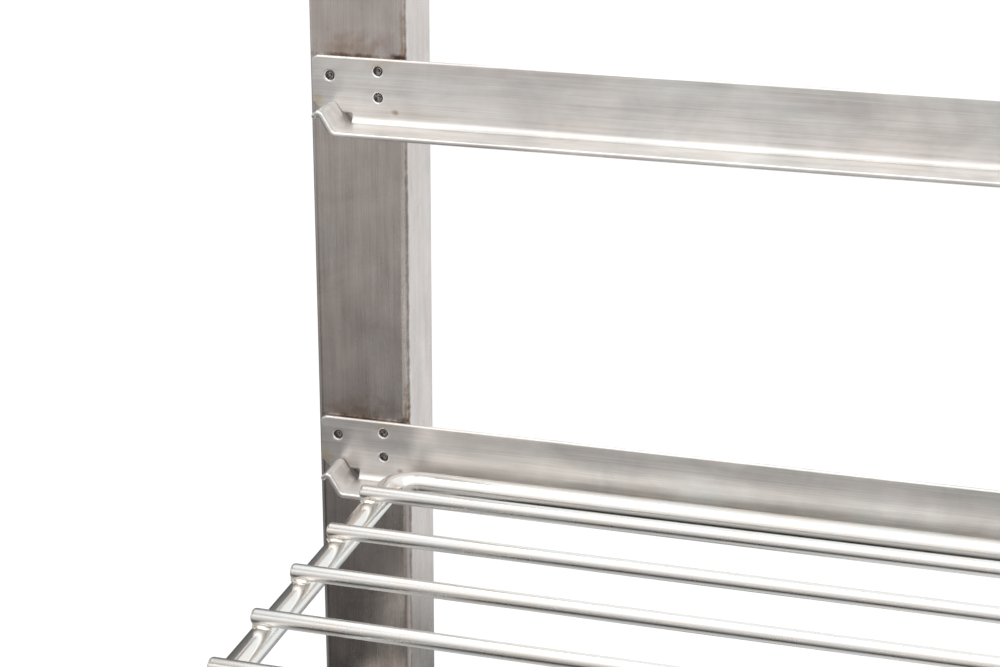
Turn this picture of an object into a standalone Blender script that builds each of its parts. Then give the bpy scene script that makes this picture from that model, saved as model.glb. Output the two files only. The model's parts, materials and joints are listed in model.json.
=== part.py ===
"""Wall mounted fold down drying rack, as separate solids. Metres, +Z up.

The wall is the plane Y = 0 and the rack stands in front of it, at negative Y.
X = 0 is the middle of the rack, and Z = 0 is the lower end of its two uprights.
"""

import math

import bmesh
import bpy
from mathutils import Matrix, Quaternion, Vector

# ---------------------------------------------------------------- driving dimensions
RACK_WIDTH = 0.800
GAP = 0.0003
OVERSHOOT = 0.006
SHEET_BEND = 0.0025
THICK_SHEET_BEND = 0.003

UPRIGHT_WIDTH = 0.040
UPRIGHT_DEPTH = 0.032
UPRIGHT_HEIGHT = 0.600
UPRIGHT_SHEET = 0.0015
UPRIGHT_CORNER = 0.003

RAIL_SHEET = 0.002
RAIL_HEIGHT = 0.028
RAIL_DEPTH = 0.0185
RAIL_PITCH = 0.1525
RAIL_BEND = 0.0042
RAIL_INSET = 0.002
SHELF_RAIL_TOP = 0.273
RAIL_CORNER = 0.0025
FLANGE_START = 0.0185
PLATE_FOOT = 0.0225
FOOT_CHAMFER = 0.0035
TAB_SHEET = 0.0018
TAB_SETBACK = 0.0008
TAB_FOOT_BEND = 0.003
TAB_BEND = 0.0015
RIVET_SPOTS = ((0.0095, 0.0078), (0.0295, 0.0050), (0.0295, 0.0156))

RAIL_RIVET_RADIUS = 0.00145
RAIL_RIVET_HOLE = 0.00175
RAIL_RIVET_TAIL = 0.0026
RAIL_RIVET_TAIL_HEIGHT = 0.001
RAIL_RIVET_RECESS = 0.0003
RAIL_RIVET_DIMPLE = 0.0005

TUBE_RADIUS = 0.005
TUBE_BEND = 0.012
TUBE_FROM_PLATE = 0.0111
SIDE_TUBE_INSET = 0.0384
ROD_RADIUS = 0.003
ROD_SET_DOWN = 0.001
ROD_COUNT = 7
ROD_PITCH = 0.0375
FIRST_ROD = 0.0415
ROD_END_INSET = 0.0344

KEEPER_SPREAD = 0.160
KEEPER_WIDTH = 0.024
KEEPER_SHEET = 0.002
KEEPER_CLEARANCE = 0.0004
KEEPER_WRAP = 120.0
KEEPER_CORNER = 0.003
KEEPER_TOP_DROP = 0.002
KEEPER_RIVET_DROP = 0.0075
KEEPER_RIVET_SPREAD = 0.013

POP_RADIUS = 0.0019
POP_HOLE = 0.0022
POP_HEAD = 0.0035
POP_HEAD_HEIGHT = 0.0012
POP_TAIL = 0.003

LUG_WIDTH = 0.022
LUG_SHEET = 0.0025
LUG_FLANGE = 0.022
LUG_REACH = 0.010
LUG_TIP_CORNER = 0.009
LUG_FOOT_CORNER = 0.004
LUG_HEIGHTS = {"lower": 0.042, "upper": 0.140}

LEG_FROM_PLATE = 0.027
SUPPORT_SPLAY = math.radians(12)
ARM_RADIUS = 0.004
ARM_CLEARANCE = 0.0003
ARM_BEND = 0.018
ARM_FOOT = 0.014
KNEE_RISE = 0.025
LEVEL_RUN = 0.034
ARM_TIP = 0.014
BRACE_RADIUS = 0.003
BRACE_FOOT = 0.022
BRACE_SHARE = 0.72
SLEEVE_RADIUS = 0.007
SLEEVE_LENGTH = 0.026
COLLAR_RADIUS = 0.0075
COLLAR_HEIGHT = 0.006

LATCH_WIDTH = 0.014
LATCH_SHEET = 0.0025
LATCH_REACH = 0.04875
LATCH_HEEL = 0.009
LATCH_DROP = 0.0125
LATCH_HEEL_CORNER = 0.005
LATCH_TIP_CORNER = 0.004
LATCH_SPACER = 0.0042
LATCH_SPACER_RADIUS = 0.006
LATCH_PIN_RADIUS = 0.0021
LATCH_PIN_HOLE = 0.0024
LATCH_PIN_HEAD = 0.0045
LATCH_PIN_HEAD_HEIGHT = 0.0015
LATCH_FROM_PLATE = 0.010

END_LUG_HEIGHT = 0.030
END_LUG_SHEET = 0.002
END_FRONT_CORNER = 0.003
END_TIP_CORNER = 0.008
END_SCREW_RADIUS = 0.00325
END_SCREW_SHARE = 0.55

# ---------------------------------------------------------------- places that follow from them
HALF_WIDTH = RACK_WIDTH / 2
PLATE_FRONT = -(UPRIGHT_DEPTH + RAIL_SHEET)
RAIL_TOPS = {
    "shelf": SHELF_RAIL_TOP,
    "middle": SHELF_RAIL_TOP + RAIL_PITCH,
    "top": SHELF_RAIL_TOP + 2 * RAIL_PITCH,
}
FLANGE_TOP = SHELF_RAIL_TOP - RAIL_HEIGHT + RAIL_SHEET
TUBE_Z = FLANGE_TOP + GAP + TUBE_RADIUS
REAR_TUBE_Y = PLATE_FRONT - TUBE_FROM_PLATE
ROD_Z = TUBE_Z + TUBE_RADIUS + GAP + ROD_RADIUS - ROD_SET_DOWN
LAST_ROD = FIRST_ROD + (ROD_COUNT - 1) * ROD_PITCH
FRONT_TUBE_Y = PLATE_FRONT - LAST_ROD - (FIRST_ROD - TUBE_FROM_PLATE)
UPRIGHT_X = HALF_WIDTH - UPRIGHT_WIDTH / 2
LEG_Y = PLATE_FRONT - LEG_FROM_PLATE
SLEEVE_Z = TUBE_Z - TUBE_RADIUS - GAP - SLEEVE_RADIUS
SIDES = {"left": -1, "right": 1}


# ---------------------------------------------------------------- scene helpers
def clear_scene():
    for old in list(bpy.data.objects):
        bpy.data.objects.remove(old, do_unlink=True)


def new_collection(name):
    made = bpy.data.collections.new(name)
    bpy.context.scene.collection.children.link(made)
    return made


def material(name, color, roughness, metallic):
    made = bpy.data.materials.new(name)
    made.use_nodes = True
    shader = made.node_tree.nodes["Principled BSDF"]
    shader.inputs["Base Color"].default_value = (*color, 1.0)
    shader.inputs["Roughness"].default_value = roughness
    shader.inputs["Metallic"].default_value = metallic
    return made


def add_part(name, mesh, finish):
    made = bpy.data.objects.new(name, mesh)
    PARTS.objects.link(made)
    mesh.materials.clear()
    mesh.materials.append(finish)
    mesh.shade_smooth()
    mesh.set_sharp_from_angle(angle=math.radians(35))
    return made


def add_cutter(name, mesh):
    made = bpy.data.objects.new(name, mesh)
    CUTTERS.objects.link(made)
    made.hide_render = True
    made.display_type = "WIRE"
    return made


def boolean(target, operation, other):
    step = target.modifiers.new(operation.lower(), "BOOLEAN")
    step.operation = operation
    step.solver = "EXACT"
    step.object = other


def bake(temporary):
    """The evaluated mesh of a temporary object in world space, which is then removed."""
    PARTS.objects.link(temporary)
    graph = bpy.context.evaluated_depsgraph_get()
    mesh = bpy.data.meshes.new_from_object(temporary.evaluated_get(graph), depsgraph=graph)
    mesh.transform(temporary.matrix_world)
    bpy.data.objects.remove(temporary, do_unlink=True)
    bm = bmesh.new()
    bm.from_mesh(mesh)
    bmesh.ops.remove_doubles(bm, verts=bm.verts, dist=1e-6)
    bm.to_mesh(mesh)
    bm.free()
    return mesh


# ---------------------------------------------------------------- paths
def corner_arc(before, corner, after, radius, steps):
    """Points of the arc that rounds one corner of a path."""
    back = (before - corner).normalized()
    ahead = (after - corner).normalized()
    half = back.angle(ahead) / 2
    centre = corner + (back + ahead).normalized() * (radius / math.sin(half))
    first = corner + back * (radius / math.tan(half)) - centre
    axis = back.cross(ahead)
    turn = 2 * half - math.pi
    return [centre + Quaternion(axis, turn * i / steps) @ first for i in range(steps + 1)]


def rounded_path(points, radius, steps=5, closed=False):
    """The path through the points, with each corner rounded to the radius."""
    knots = [Vector(point) for point in points]
    count = len(knots)
    path = []
    for i, knot in enumerate(knots):
        if not closed and i in (0, count - 1):
            path.append(knot)
            continue
        path += corner_arc(knots[i - 1], knot, knots[(i + 1) % count], radius, steps)
    return path


def in_side_plane(x, path):
    """Places (y, z) points in the plane at x."""
    return [Vector((x, point[0], point[1])) for point in path]


# ---------------------------------------------------------------- shapes
def cylinder_mesh(start, end, radius, sides=20):
    start = Vector(start)
    end = Vector(end)
    turn = Vector((0, 0, 1)).rotation_difference(end - start).to_matrix().to_4x4()
    place = Matrix.Translation((start + end) / 2) @ turn
    bm = bmesh.new()
    bmesh.ops.create_cone(
        bm,
        cap_ends=True,
        segments=sides,
        radius1=radius,
        radius2=radius,
        depth=(end - start).length,
        matrix=place,
    )
    mesh = bpy.data.meshes.new("cylinder")
    bm.to_mesh(mesh)
    bm.free()
    return mesh


def prism_mesh(outline, near_y, far_y):
    """A flat (x, z) outline extruded from one y to another."""
    bm = bmesh.new()
    rim = [bm.verts.new((x, near_y, z)) for x, z in outline]
    face = bm.faces.new(rim)
    grown = bmesh.ops.extrude_face_region(bm, geom=[face])
    moved = [item for item in grown["geom"] if isinstance(item, bmesh.types.BMVert)]
    bmesh.ops.translate(bm, vec=(0, far_y - near_y, 0), verts=moved)
    bmesh.ops.recalc_face_normals(bm, faces=bm.faces)
    mesh = bpy.data.meshes.new("prism")
    bm.to_mesh(mesh)
    bm.free()
    return mesh


def tube_mesh(path, radius, closed=False, resolution=6):
    curve = bpy.data.curves.new("tube", "CURVE")
    curve.dimensions = "3D"
    curve.bevel_depth = radius
    curve.bevel_resolution = resolution
    curve.use_fill_caps = True
    spline = curve.splines.new("POLY")
    spline.points.add(len(path) - 1)
    for knot, place in zip(spline.points, path):
        knot.co = (*place, 1.0)
    spline.use_cyclic_u = closed
    return bake(bpy.data.objects.new("tube", curve))


def sheet_mesh(path, sweep, thickness):
    """Folded sheet: the path is its middle line, swept along a vector."""
    bm = bmesh.new()
    line = [bm.verts.new(place) for place in path]
    edges = [bm.edges.new(pair) for pair in zip(line, line[1:])]
    grown = bmesh.ops.extrude_edge_only(bm, edges=edges)
    moved = [item for item in grown["geom"] if isinstance(item, bmesh.types.BMVert)]
    bmesh.ops.translate(bm, vec=sweep, verts=moved)
    surface = bpy.data.meshes.new("sheet")
    bm.to_mesh(surface)
    bm.free()
    temporary = bpy.data.objects.new("sheet", surface)
    solidify = temporary.modifiers.new("thickness", "SOLIDIFY")
    solidify.thickness = thickness
    solidify.offset = 0.0
    solidify.use_even_offset = True
    return bake(temporary)


def round_corners(mesh, corners, reach, radius):
    """Rounds the short edges that run through the sheet at the given corners."""
    bm = bmesh.new()
    bm.from_mesh(mesh)
    picked = []
    for edge in bm.edges:
        ends = [vert.co for vert in edge.verts]
        for corner in corners:
            if all((end - Vector(corner)).length < reach for end in ends):
                picked.append(edge)
    bmesh.ops.bevel(bm, geom=picked, offset=radius, segments=4, affect="EDGES", profile=0.5)
    bm.to_mesh(mesh)
    bm.free()
    return mesh


def turned_mesh(profile, steps=16):
    """A profile of (radius, height) points, top to bottom, turned about Z."""
    bm = bmesh.new()
    line = [bm.verts.new((radius, 0, height)) for radius, height in profile]
    for pair in zip(line, line[1:]):
        bm.edges.new(pair)
    outline = bpy.data.meshes.new("profile")
    bm.to_mesh(outline)
    bm.free()
    temporary = bpy.data.objects.new("turned", outline)
    screw = temporary.modifiers.new("turn", "SCREW")
    screw.axis = "Z"
    screw.angle = math.tau
    screw.steps = steps
    screw.render_steps = steps
    screw.use_merge_vertices = True
    screw.merge_threshold = 1e-5
    return bake(temporary)


def pin_profile(radius, length, head_radius, head_height, tail_radius, tail_height):
    """A rivet: head above, shank of the given length, formed tail below. Z = 0 is under the head."""
    dome = head_height * 0.6
    return [
        (0, head_height),
        (head_radius * 0.55, head_height),
        (head_radius, dome),
        (head_radius, 0),
        (radius, 0),
        (radius, -length),
        (tail_radius, -length),
        (tail_radius, -length - tail_height),
        (0, -length - tail_height),
    ]


def facing_out(x, y, z):
    """Turns a part modelled about +Z so that its top faces away from the wall."""
    return Matrix.Translation((x, y, z)) @ Matrix.Rotation(math.pi / 2, 4, "X")


# ---------------------------------------------------------------- wall frame
def rail_rivet_places(top, side):
    """(x, z) of the rivets at one end of the rail whose top edge is at the given height."""
    return [(side * (HALF_WIDTH - inset), top - drop) for inset, drop in RIVET_SPOTS]


def hole_cutters(name, places, radius, sheet_y):
    """One cutter with a round bar through the sheet at each (x, z)."""
    bm = bmesh.new()
    for x, z in places:
        bar = cylinder_mesh((x, sheet_y - OVERSHOOT, z), (x, sheet_y + OVERSHOOT, z), radius, 16)
        bm.from_mesh(bar)
        bpy.data.meshes.remove(bar)
    mesh = bpy.data.meshes.new(name)
    bm.to_mesh(mesh)
    bm.free()
    return add_cutter(name, mesh)


def upright(side_name):
    """Folded channel, open towards the wall."""
    side = SIDES[side_name]
    middle = side * UPRIGHT_X
    inner = UPRIGHT_WIDTH / 2 - UPRIGHT_SHEET / 2
    front = -UPRIGHT_DEPTH + UPRIGHT_SHEET / 2
    outline = [
        (middle - inner, 0, 0),
        (middle - inner, front, 0),
        (middle + inner, front, 0),
        (middle + inner, 0, 0),
    ]
    path = rounded_path(outline, UPRIGHT_CORNER - UPRIGHT_SHEET / 2)
    mesh = sheet_mesh(path, (0, 0, UPRIGHT_HEIGHT), UPRIGHT_SHEET)
    made = add_part(f"upright_{side_name}", mesh, STEEL)
    rail_holes = [place for top in RAIL_TOPS.values() for place in rail_rivet_places(top, side)]
    boolean(made, "DIFFERENCE",
            hole_cutters(f"cut_upright_{side_name}", rail_holes, RAIL_RIVET_HOLE, -UPRIGHT_DEPTH))


def tab_mesh(side, flange_middle):
    """The curled lead-in at a flange's end, leaning outwards and rolled over at its top."""
    line = [
        (0.0190, 0.0),
        (0.0166, 0.0),
        (0.0106, 0.0098),
        (0.0088, 0.0056),
    ]
    front = PLATE_FRONT - RAIL_DEPTH
    knots = [(side * (HALF_WIDTH - inset), front, flange_middle + rise) for inset, rise in line]
    foot = corner_arc(*map(Vector, knots[:3]), TAB_FOOT_BEND, 5)
    crest = corner_arc(*map(Vector, knots[1:]), TAB_BEND, 5)
    path = [Vector(knots[0])] + foot + crest + [Vector(knots[-1])]
    return sheet_mesh(path, (0, RAIL_DEPTH - TAB_SETBACK, 0), TAB_SHEET)


def rail_end_cutter(name, side, top):
    """Takes the flange and the bend off the rail's end, and chamfers the foot of its plate."""
    beyond = RAIL_INSET - OVERSHOOT
    outline = [
        (beyond, PLATE_FOOT - FOOT_CHAMFER),
        (RAIL_INSET, PLATE_FOOT - FOOT_CHAMFER),
        (RAIL_INSET + FOOT_CHAMFER, PLATE_FOOT),
        (FLANGE_START, PLATE_FOOT),
        (FLANGE_START, RAIL_HEIGHT + OVERSHOOT),
        (beyond, RAIL_HEIGHT + OVERSHOOT),
    ]
    placed = [(side * (HALF_WIDTH - inset), top - drop) for inset, drop in outline]
    mesh = prism_mesh(placed, PLATE_FRONT - RAIL_DEPTH - OVERSHOOT, PLATE_FRONT + OVERSHOOT)
    return add_cutter(name, mesh)


def rail(level):
    """Folded angle: a plate on the uprights and a flange that reaches forward at its foot."""
    top = RAIL_TOPS[level]
    plate_middle = PLATE_FRONT + RAIL_SHEET / 2
    flange_middle = top - RAIL_HEIGHT + RAIL_SHEET / 2
    end = HALF_WIDTH - RAIL_INSET
    section = [
        (plate_middle - GAP, top),
        (plate_middle - GAP, flange_middle),
        (PLATE_FRONT - RAIL_DEPTH, flange_middle),
    ]
    knots = [Vector((-end, y, z)) for y, z in section]
    path = rounded_path(knots, RAIL_BEND)
    mesh = sheet_mesh(path, (2 * end, 0, 0), RAIL_SHEET)
    corners = [(side * end, plate_middle - GAP, top) for side in SIDES.values()]
    round_corners(mesh, corners, RAIL_SHEET, RAIL_CORNER)
    made = add_part(f"{level}_rail", mesh, STEEL)
    for side_name, side in SIDES.items():
        boolean(made, "DIFFERENCE", rail_end_cutter(f"cut_{level}_end_{side_name}", side, top))
    for side_name, side in SIDES.items():
        tab = add_cutter(f"tab_{level}_{side_name}", tab_mesh(side, flange_middle))
        boolean(made, "UNION", tab)
    places = rail_rivet_places(top, -1) + rail_rivet_places(top, 1)
    boolean(made, "DIFFERENCE",
            hole_cutters(f"cut_{level}_rivets", places, RAIL_RIVET_HOLE, PLATE_FRONT))
    return made


def rail_rivets(level, side_name):
    """Flush rivets that clamp a rail to an upright, with their tails inside the channel."""
    face = -RAIL_RIVET_RECESS
    foot = -RAIL_SHEET - UPRIGHT_SHEET - 3 * GAP
    profile = [
        (0, face - RAIL_RIVET_DIMPLE),
        (RAIL_RIVET_RADIUS * 0.45, face - RAIL_RIVET_DIMPLE),
        (RAIL_RIVET_RADIUS * 0.6, face),
        (RAIL_RIVET_RADIUS, face),
        (RAIL_RIVET_RADIUS, foot),
        (RAIL_RIVET_TAIL, foot),
        (RAIL_RIVET_TAIL, foot - RAIL_RIVET_TAIL_HEIGHT),
        (0, foot - RAIL_RIVET_TAIL_HEIGHT),
    ]
    places = rail_rivet_places(RAIL_TOPS[level], SIDES[side_name])
    for number, (x, z) in enumerate(places, start=1):
        mesh = turned_mesh(profile, 12)
        mesh.transform(facing_out(x, PLATE_FRONT - GAP, z))
        add_part(f"{level}_rail_rivet_{side_name}_{number}", mesh, RIVET_STEEL)


def end_bracket(side_name, end_name):
    """Cap on an upright's end, with a lug that is screwed to the wall."""
    side = SIDES[side_name]
    up = 1 if end_name == "top" else -1
    base = UPRIGHT_HEIGHT if up > 0 else 0.0
    level = base + up * (GAP + END_LUG_SHEET / 2)
    tip = level + up * END_LUG_HEIGHT
    low_x = side * UPRIGHT_X - UPRIGHT_WIDTH / 2
    section = [(-UPRIGHT_DEPTH, level), (-END_LUG_SHEET / 2, level), (-END_LUG_SHEET / 2, tip)]
    path = rounded_path(in_side_plane(low_x, section), SHEET_BEND)
    mesh = sheet_mesh(path, (UPRIGHT_WIDTH, 0, 0), END_LUG_SHEET)
    edges = (low_x, low_x + UPRIGHT_WIDTH)
    front = [(x, -UPRIGHT_DEPTH, level) for x in edges]
    round_corners(mesh, front, END_LUG_SHEET, END_FRONT_CORNER)
    tips = [(x, -END_LUG_SHEET / 2, tip) for x in edges]
    round_corners(mesh, tips, END_LUG_SHEET, END_TIP_CORNER)
    made = add_part(f"end_bracket_{end_name}_{side_name}", mesh, STEEL)
    screw_z = level + up * END_LUG_HEIGHT * END_SCREW_SHARE
    boolean(made, "DIFFERENCE",
            hole_cutters(f"cut_end_{end_name}_{side_name}", [(side * UPRIGHT_X, screw_z)],
                         END_SCREW_RADIUS, 0))


# ---------------------------------------------------------------- folding shelf
def rod_bars(name, radius, overshoot):
    """(name, mesh) of a bar in each rod's place, longer at both ends by the overshoot."""
    end = HALF_WIDTH - ROD_END_INSET + overshoot
    bars = []
    for i in range(ROD_COUNT):
        y = PLATE_FRONT - FIRST_ROD - i * ROD_PITCH
        mesh = cylinder_mesh((-end, y, ROD_Z), (end, y, ROD_Z), radius, 16)
        bars.append((f"{name}_{i + 1}", mesh))
    return bars


def shelf_frame():
    """Tube bent to a closed loop, with shallow saddles for the rods.

    Its rear run is the hinge pin and lies in the shelf rail.
    """
    side_x = HALF_WIDTH - SIDE_TUBE_INSET
    corners = [
        (-side_x, REAR_TUBE_Y, TUBE_Z),
        (side_x, REAR_TUBE_Y, TUBE_Z),
        (side_x, FRONT_TUBE_Y, TUBE_Z),
        (-side_x, FRONT_TUBE_Y, TUBE_Z),
    ]
    path = rounded_path(corners, TUBE_BEND, 8, closed=True)
    made = add_part("shelf_frame", tube_mesh(path, TUBE_RADIUS, closed=True), POLISHED)
    for name, mesh in rod_bars("cut_saddle", ROD_RADIUS + GAP, OVERSHOOT):
        boolean(made, "DIFFERENCE", add_cutter(name, mesh))
    on_hinge(made)


def shelf_rods():
    for name, mesh in rod_bars("shelf_rod", ROD_RADIUS, 0):
        on_hinge(add_part(name, mesh, POLISHED))


def shelf_centre_bar():
    """Wire under the rods, from the rear run of the tube to the front run."""
    end_gap = TUBE_RADIUS + GAP
    z = ROD_Z - 2 * ROD_RADIUS - GAP
    start = (0, REAR_TUBE_Y - end_gap, z)
    end = (0, FRONT_TUBE_Y + end_gap, z)
    on_hinge(add_part("shelf_centre_bar", cylinder_mesh(start, end, ROD_RADIUS, 16), POLISHED))


def on_hinge(part):
    """Moves a shelf part's origin to the hinge axis without moving its surface."""
    hinge = Vector((0, REAR_TUBE_Y, TUBE_Z))
    part.data.transform(Matrix.Translation(-hinge))
    part.location = hinge


def hinge_keeper(side_name):
    """Strip riveted to the shelf rail and wrapped over the rear tube, which turns in it."""
    middle = SIDES[side_name] * KEEPER_SPREAD / 2
    wrap = TUBE_RADIUS + KEEPER_CLEARANCE + KEEPER_SHEET / 2
    back = PLATE_FRONT - 2 * GAP - KEEPER_SHEET / 2
    top = SHELF_RAIL_TOP - KEEPER_TOP_DROP
    shoulder = [(back, top), (back, TUBE_Z + wrap), (REAR_TUBE_Y, TUBE_Z + wrap)]
    left_x = middle - KEEPER_WIDTH / 2
    path = rounded_path(in_side_plane(left_x, shoulder), SHEET_BEND)
    steps = 10
    for i in range(1, steps + 1):
        angle = math.radians(KEEPER_WRAP * i / steps)
        y = REAR_TUBE_Y - wrap * math.sin(angle)
        z = TUBE_Z + wrap * math.cos(angle)
        path.append(Vector((left_x, y, z)))
    mesh = sheet_mesh(path, (KEEPER_WIDTH, 0, 0), KEEPER_SHEET)
    corners = [(left_x + offset, back, top) for offset in (0, KEEPER_WIDTH)]
    round_corners(mesh, corners, KEEPER_SHEET, KEEPER_CORNER)
    made = add_part(f"hinge_keeper_{side_name}", mesh, STEEL)
    boolean(made, "DIFFERENCE",
            hole_cutters(f"cut_keeper_{side_name}", keeper_rivet_places(SIDES[side_name]),
                         POP_HOLE, PLATE_FRONT))


def keeper_rivet_places(side):
    """(x, z) of the two rivets of one hinge keeper."""
    z = SHELF_RAIL_TOP - KEEPER_RIVET_DROP
    middle = side * KEEPER_SPREAD / 2
    return [(middle - KEEPER_RIVET_SPREAD / 2, z), (middle + KEEPER_RIVET_SPREAD / 2, z)]


def keeper_rivets(side_name):
    stack = KEEPER_SHEET + RAIL_SHEET + 3 * GAP
    front = PLATE_FRONT - 3 * GAP - KEEPER_SHEET
    profile = pin_profile(POP_RADIUS, stack, POP_HEAD, POP_HEAD_HEIGHT, POP_TAIL, POP_HEAD_HEIGHT)
    for number, (x, z) in enumerate(keeper_rivet_places(SIDES[side_name]), start=1):
        mesh = turned_mesh(profile)
        mesh.transform(facing_out(x, front, z))
        add_part(f"keeper_rivet_{side_name}_{number}", mesh, RIVET_STEEL)


# ---------------------------------------------------------------- swing-out supports
def hinge_lug(side_name, height_name):
    """Folded lug welded to an upright's face, with an eye for the support's upright leg."""
    side = SIDES[side_name]
    level = LUG_HEIGHTS[height_name]
    low_x = side * UPRIGHT_X - LUG_WIDTH / 2
    back = -UPRIGHT_DEPTH - GAP - LUG_SHEET / 2
    tip = LEG_Y - LUG_REACH
    section = [(back, level - LUG_FLANGE), (back, level), (tip, level)]
    path = rounded_path(in_side_plane(low_x, section), THICK_SHEET_BEND)
    mesh = sheet_mesh(path, (LUG_WIDTH, 0, 0), LUG_SHEET)
    edges = (low_x, low_x + LUG_WIDTH)
    round_corners(mesh, [(x, tip, level) for x in edges], LUG_SHEET, LUG_TIP_CORNER)
    feet = [(x, back, level - LUG_FLANGE) for x in edges]
    round_corners(mesh, feet, LUG_SHEET, LUG_FOOT_CORNER)
    made = add_part(f"hinge_lug_{height_name}_{side_name}", mesh, STEEL)
    eye = cylinder_mesh(
        (side * UPRIGHT_X, LEG_Y, level - OVERSHOOT),
        (side * UPRIGHT_X, LEG_Y, level + OVERSHOOT),
        ARM_RADIUS + ARM_CLEARANCE,
        24,
    )
    boolean(made, "DIFFERENCE", add_cutter(f"cut_eye_{height_name}_{side_name}", eye))


def support(side_name):
    """Bent bar that hangs in two lugs and swings out under the front run of the shelf.

    It is modelled in the leg's own frame, reaching along -Y, and then turned inwards.
    """
    front_run = (FRONT_TUBE_Y - LEG_Y) / math.cos(SUPPORT_SPLAY)
    knee_z = LUG_HEIGHTS["upper"] + KNEE_RISE
    level_y = front_run + LEVEL_RUN
    arm_knots = [
        (0, 0, LUG_HEIGHTS["lower"] - ARM_FOOT),
        (0, 0, knee_z),
        (0, level_y, SLEEVE_Z),
        (0, front_run - ARM_TIP, SLEEVE_Z),
    ]
    arm = tube_mesh(rounded_path(arm_knots, ARM_BEND, 6), ARM_RADIUS, resolution=5)
    on_leg(side_name, add_part(f"support_arm_{side_name}", arm, POLISHED))

    sleeve = turned_mesh(ring_profile(SLEEVE_RADIUS, SLEEVE_LENGTH), 24)
    sleeve.transform(facing_out(0, front_run + SLEEVE_LENGTH / 2, SLEEVE_Z))
    on_leg(side_name, add_part(f"support_sleeve_{side_name}", sleeve, NYLON))

    ring_feet = {
        "collar": LUG_HEIGHTS["lower"] + LUG_SHEET / 2 + GAP,
        "foot_ring": LUG_HEIGHTS["lower"] - LUG_SHEET / 2 - GAP - COLLAR_HEIGHT,
    }
    for ring_name, foot in ring_feet.items():
        ring = turned_mesh(ring_profile(COLLAR_RADIUS, COLLAR_HEIGHT), 24)
        ring.transform(Matrix.Translation((0, 0, foot)))
        on_leg(side_name, add_part(f"support_{ring_name}_{side_name}", ring, RIVET_STEEL))

    brace_low = (0, -ARM_RADIUS - BRACE_RADIUS * 0.6, LUG_HEIGHTS["lower"] + BRACE_FOOT)
    under_arm = ARM_RADIUS + BRACE_RADIUS * 1.15
    share_z = knee_z + (SLEEVE_Z - knee_z) * BRACE_SHARE
    brace_high = (0, level_y * BRACE_SHARE, share_z - under_arm)
    brace = cylinder_mesh(brace_low, brace_high, BRACE_RADIUS, 12)
    on_leg(side_name, add_part(f"support_brace_{side_name}", brace, POLISHED))


def ring_profile(radius, height):
    """The section of a ring that fits on the support's bar, from its inner top edge round."""
    bore = ARM_RADIUS + ARM_CLEARANCE
    return [(bore, height), (radius, height), (radius, 0), (bore, 0), (bore, height)]


def on_leg(side_name, part):
    """Stands a support part on the axis of its leg, turned inwards."""
    side = SIDES[side_name]
    part.location = (side * UPRIGHT_X, LEG_Y, 0)
    part.rotation_euler = (0, 0, -side * SUPPORT_SPLAY)


# ---------------------------------------------------------------- stowing latch
def stow_latch(top_rail):
    """Turning hook under the top rail, which holds the folded shelf by its front run."""
    under = RAIL_TOPS["top"] - RAIL_HEIGHT
    pin_y = PLATE_FRONT - LATCH_FROM_PLATE
    strip_top = under - 2 * GAP - LATCH_SPACER
    middle_z = strip_top - LATCH_SHEET / 2
    near_y = pin_y - LATCH_WIDTH / 2
    knots = [
        (-LATCH_HEEL, near_y, middle_z),
        (LATCH_REACH, near_y, middle_z),
        (LATCH_REACH, near_y, middle_z - LATCH_DROP),
    ]
    path = rounded_path(knots, THICK_SHEET_BEND)
    mesh = sheet_mesh(path, (0, LATCH_WIDTH, 0), LATCH_SHEET)
    sides = (near_y, near_y + LATCH_WIDTH)
    heel = [(-LATCH_HEEL, y, middle_z) for y in sides]
    round_corners(mesh, heel, LATCH_SHEET, LATCH_HEEL_CORNER)
    tips = [(LATCH_REACH, y, middle_z - LATCH_DROP) for y in sides]
    round_corners(mesh, tips, LATCH_SHEET, LATCH_TIP_CORNER)
    latch = add_part("stow_latch", mesh, STEEL)
    pin_hole = cylinder_mesh((0, pin_y, middle_z - OVERSHOOT), (0, pin_y, under + OVERSHOOT),
                             LATCH_PIN_HOLE, 16)
    cutter = add_cutter("cut_latch_pin", pin_hole)
    boolean(latch, "DIFFERENCE", cutter)
    boolean(top_rail, "DIFFERENCE", cutter)
    pin_place = Vector((0, pin_y, 0))
    latch.data.transform(Matrix.Translation(-pin_place))
    latch.location = pin_place

    spacer = [
        (LATCH_PIN_HOLE, LATCH_SPACER),
        (LATCH_SPACER_RADIUS, LATCH_SPACER),
        (LATCH_SPACER_RADIUS, 0),
        (LATCH_PIN_HOLE, 0),
        (LATCH_PIN_HOLE, LATCH_SPACER),
    ]
    spacer_mesh = turned_mesh(spacer, 24)
    spacer_mesh.transform(Matrix.Translation((0, pin_y, under - GAP - LATCH_SPACER)))
    add_part("latch_spacer", spacer_mesh, RIVET_STEEL)

    seat = under + RAIL_SHEET + GAP
    length = seat - (strip_top - LATCH_SHEET - GAP)
    pin = turned_mesh(pin_profile(LATCH_PIN_RADIUS, length, LATCH_PIN_HEAD, LATCH_PIN_HEAD_HEIGHT,
                                  LATCH_PIN_HEAD, LATCH_PIN_HEAD_HEIGHT))
    pin.transform(Matrix.Translation((0, pin_y, seat)))
    add_part("latch_pin", pin, RIVET_STEEL)


clear_scene()
PARTS = new_collection("wall_mounted_fold_down_drying_rack")
CUTTERS = new_collection("cutters")
STEEL = material("brushed_stainless", (0.56, 0.54, 0.51), 0.34, 1.0)
POLISHED = material("polished_stainless", (0.72, 0.71, 0.69), 0.16, 1.0)
RIVET_STEEL = material("rivet_steel", (0.50, 0.48, 0.46), 0.38, 1.0)
NYLON = material("grey_nylon", (0.10, 0.10, 0.11), 0.55, 0.0)

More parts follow.
